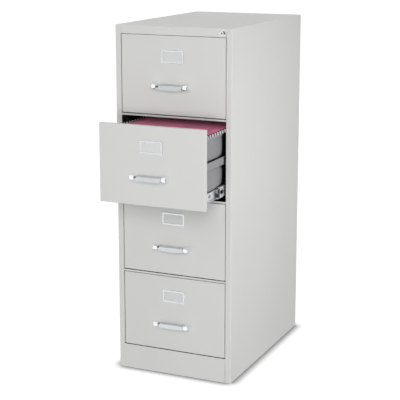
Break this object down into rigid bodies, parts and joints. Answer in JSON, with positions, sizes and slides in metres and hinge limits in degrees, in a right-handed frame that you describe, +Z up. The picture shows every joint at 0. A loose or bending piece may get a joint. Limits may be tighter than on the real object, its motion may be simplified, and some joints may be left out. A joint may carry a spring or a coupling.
{
  "type": "vertical filing cabinet",
  "caption": "Tall sheet-steel filing cabinet with full-width drawers on ball-bearing slides, chrome pulls, label holders, a push lock and hanging folders in an open drawer.",
  "frame": {"origin": "on the floor, under the centre of the case's footprint", "axes": "+X to the right of a person facing the drawers, +Y from the drawer fronts to the back, +Z up"},
  "size_m": [0.4636, 0.939, 1.3208],
  "materials": {
    "case_enamel": "light grey baked enamel with a faint orange-peel texture",
    "drawer_enamel": "mid grey satin enamel on the hidden drawer and frame sheet",
    "inner_primer": "matt near-black primer on the frame inside the case",
    "bright_chrome": "bright chrome plate",
    "zinc_steel": "bright zinc-plated rolled steel",
    "lock_steel": "satin nickel",
    "rod_steel": "flat steel strip with light coated tips",
    "label_card": "blank off-white card",
    "folder_card": "maroon pressed card with a fine fibre grain",
    "glide_plastic": "black nylon"
  },
  "bodies": {
    "case": {"back_panel": "case_enamel", "base_frame": "case_enamel", "base_front": "case_enamel", "cross_rails": "case_enamel", "levelling_glides": "glide_plastic", "lock_housing": "bright_chrome", "side_panel_left": "case_enamel", "side_panel_right": "case_enamel", "slide_outer_members": "zinc_steel", "top_panel": "case_enamel", "uprights": "inner_primer"},
    "lock_cylinder": {"lock_cylinder": "bright_chrome"},
    "lock_plug": {"lock_plug": "lock_steel"},
    "lock_bar": {"lock_bar": "zinc_steel"},
    "drawer_1": {"drawer_1_front": "case_enamel", "drawer_1_handle": "bright_chrome", "drawer_1_handle_screws": "zinc_steel", "drawer_1_label_card": "label_card", "drawer_1_label_holder": "bright_chrome", "drawer_1_liner": "case_enamel", "drawer_1_sides": "drawer_enamel", "drawer_1_slide_inner": "zinc_steel", "drawer_1_tray": "drawer_enamel"},
    "drawer_1_middle_slide": {"drawer_1_slide_middle": "zinc_steel"},
    "drawer_1_cage": {"drawer_1_ball_cages": "zinc_steel"},
    "drawer_2": {"drawer_2_front": "case_enamel", "drawer_2_handle": "bright_chrome", "drawer_2_handle_screws": "zinc_steel", "drawer_2_label_card": "label_card", "drawer_2_label_holder": "bright_chrome", "drawer_2_liner": "case_enamel", "drawer_2_sides": "drawer_enamel", "drawer_2_slide_inner": "zinc_steel", "drawer_2_tray": "drawer_enamel", "hanging_folders": "folder_card", "folder_rods": "rod_steel"},
    "drawer_2_middle_slide": {"drawer_2_slide_middle": "zinc_steel"},
    "drawer_2_cage": {"drawer_2_ball_cages": "zinc_steel"},
    "drawer_3": {"drawer_3_front": "case_enamel", "drawer_3_handle": "bright_chrome", "drawer_3_handle_screws": "zinc_steel", "drawer_3_label_card": "label_card", "drawer_3_label_holder": "bright_chrome", "drawer_3_liner": "case_enamel", "drawer_3_sides": "drawer_enamel", "drawer_3_slide_inner": "zinc_steel", "drawer_3_tray": "drawer_enamel"},
    "drawer_3_middle_slide": {"drawer_3_slide_middle": "zinc_steel"},
    "drawer_3_cage": {"drawer_3_ball_cages": "zinc_steel"},
    "drawer_4": {"drawer_4_front": "case_enamel", "drawer_4_handle": "bright_chrome", "drawer_4_handle_screws": "zinc_steel", "drawer_4_label_card": "label_card", "drawer_4_label_holder": "bright_chrome", "drawer_4_liner": "case_enamel", "drawer_4_sides": "drawer_enamel", "drawer_4_slide_inner": "zinc_steel", "drawer_4_tray": "drawer_enamel"},
    "drawer_4_middle_slide": {"drawer_4_slide_middle": "zinc_steel"},
    "drawer_4_cage": {"drawer_4_ball_cages": "zinc_steel"}
  },
  "joints": [
    {"name": "drawer_1_pull", "type": "slide", "parent": "case", "child": "drawer_1", "axis": [0, -1, 0], "range_m": [0, 0.62]},
    {"name": "drawer_1_middle", "type": "slide", "parent": "case", "child": "drawer_1_middle_slide", "axis": [0, -1, 0], "range_m": [0, 0.31]},
    {"name": "drawer_1_balls", "type": "slide", "parent": "case", "child": "drawer_1_cage", "axis": [0, -1, 0], "range_m": [0, 0.465]},
    {"name": "drawer_2_pull", "type": "slide", "parent": "case", "child": "drawer_2", "axis": [0, -1, 0], "range_m": [-0.18, 0.44]},
    {"name": "drawer_2_middle", "type": "slide", "parent": "case", "child": "drawer_2_middle_slide", "axis": [0, -1, 0], "range_m": [-0.09, 0.22]},
    {"name": "drawer_2_balls", "type": "slide", "parent": "case", "child": "drawer_2_cage", "axis": [0, -1, 0], "range_m": [-0.135, 0.33]},
    {"name": "drawer_3_pull", "type": "slide", "parent": "case", "child": "drawer_3", "axis": [0, -1, 0], "range_m": [0, 0.62]},
    {"name": "drawer_3_middle", "type": "slide", "parent": "case", "child": "drawer_3_middle_slide", "axis": [0, -1, 0], "range_m": [0, 0.31]},
    {"name": "drawer_3_balls", "type": "slide", "parent": "case", "child": "drawer_3_cage", "axis": [0, -1, 0], "range_m": [0, 0.465]},
    {"name": "drawer_4_pull", "type": "slide", "parent": "case", "child": "drawer_4", "axis": [0, -1, 0], "range_m": [0, 0.62]},
    {"name": "drawer_4_middle", "type": "slide", "parent": "case", "child": "drawer_4_middle_slide", "axis": [0, -1, 0], "range_m": [0, 0.31]},
    {"name": "drawer_4_balls", "type": "slide", "parent": "case", "child": "drawer_4_cage", "axis": [0, -1, 0], "range_m": [0, 0.465]},
    {"name": "lock_push", "type": "slide", "parent": "case", "child": "lock_cylinder", "axis": [0, 1, 0], "range_m": [0, 0.008], "stiffness_N_per_m": 300, "springref_m": -0.01},
    {"name": "key_turn", "type": "hinge", "parent": "lock_cylinder", "child": "lock_plug", "pos_m": [0.195, -0.36195, 1.3035], "axis": [0, 1, 0], "range_deg": [0, 90]},
    {"name": "lock_bar_lift", "type": "slide", "parent": "case", "child": "lock_bar", "axis": [0, 0, 1], "range_m": [0, 0.008]}
  ],
  "couplings": [
    {"joint": "drawer_1_middle", "follows": "drawer_1_pull", "ratio": 0.5},
    {"joint": "drawer_1_balls", "follows": "drawer_1_pull", "ratio": 0.75},
    {"joint": "drawer_2_middle", "follows": "drawer_2_pull", "ratio": 0.5},
    {"joint": "drawer_2_balls", "follows": "drawer_2_pull", "ratio": 0.75},
    {"joint": "drawer_3_middle", "follows": "drawer_3_pull", "ratio": 0.5},
    {"joint": "drawer_3_balls", "follows": "drawer_3_pull", "ratio": 0.75},
    {"joint": "drawer_4_middle", "follows": "drawer_4_pull", "ratio": 0.5},
    {"joint": "drawer_4_balls", "follows": "drawer_4_pull", "ratio": 0.75},
    {"joint": "lock_bar_lift", "follows": "lock_push", "ratio": 1}
  ]
}
